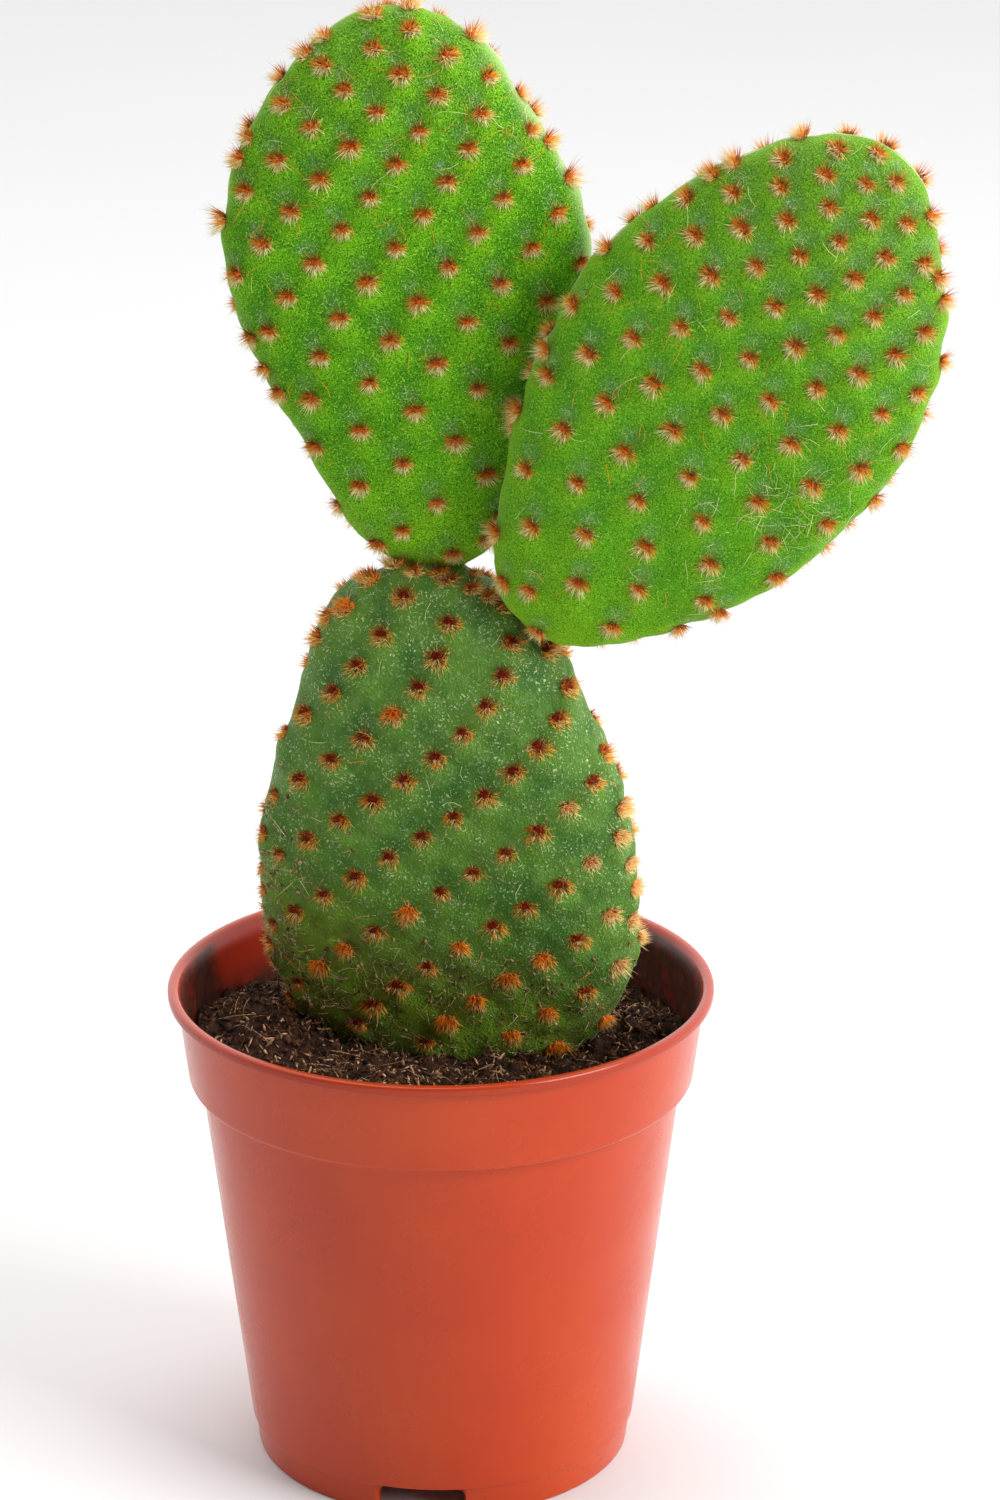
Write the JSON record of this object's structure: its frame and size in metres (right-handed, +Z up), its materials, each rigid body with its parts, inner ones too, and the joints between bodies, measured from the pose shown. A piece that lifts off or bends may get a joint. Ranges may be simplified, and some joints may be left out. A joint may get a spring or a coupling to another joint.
{
  "type": "potted paddle cactus",
  "caption": "Flat-jointed paddle cactus with bristle tufts standing in soil in a round tapered plastic pot, a small free-standing live plant for a shelf or sill.",
  "frame": {"origin": "on the surface that the pot stands on, under the middle of the whole object's box", "axes": "+Z up along the pot's axis, +X to the right of the broad faces of the pads as the picture shows them, +Y away from the viewer, through the pads' thickness"},
  "size_m": [0.1184, 0.085, 0.2329],
  "materials": {
    "pot_plastic": "satin",
    "soil": "matte",
    "old_pad_skin": "matte",
    "young_pad_skin": "satin"
  },
  "bodies": {
    "root": {"pot": "pot_plastic", "soil": "soil", "pad_lower": "old_pad_skin", "pad_upper_left": "young_pad_skin", "pad_upper_right": "young_pad_skin"}
  },
  "joints": []
}
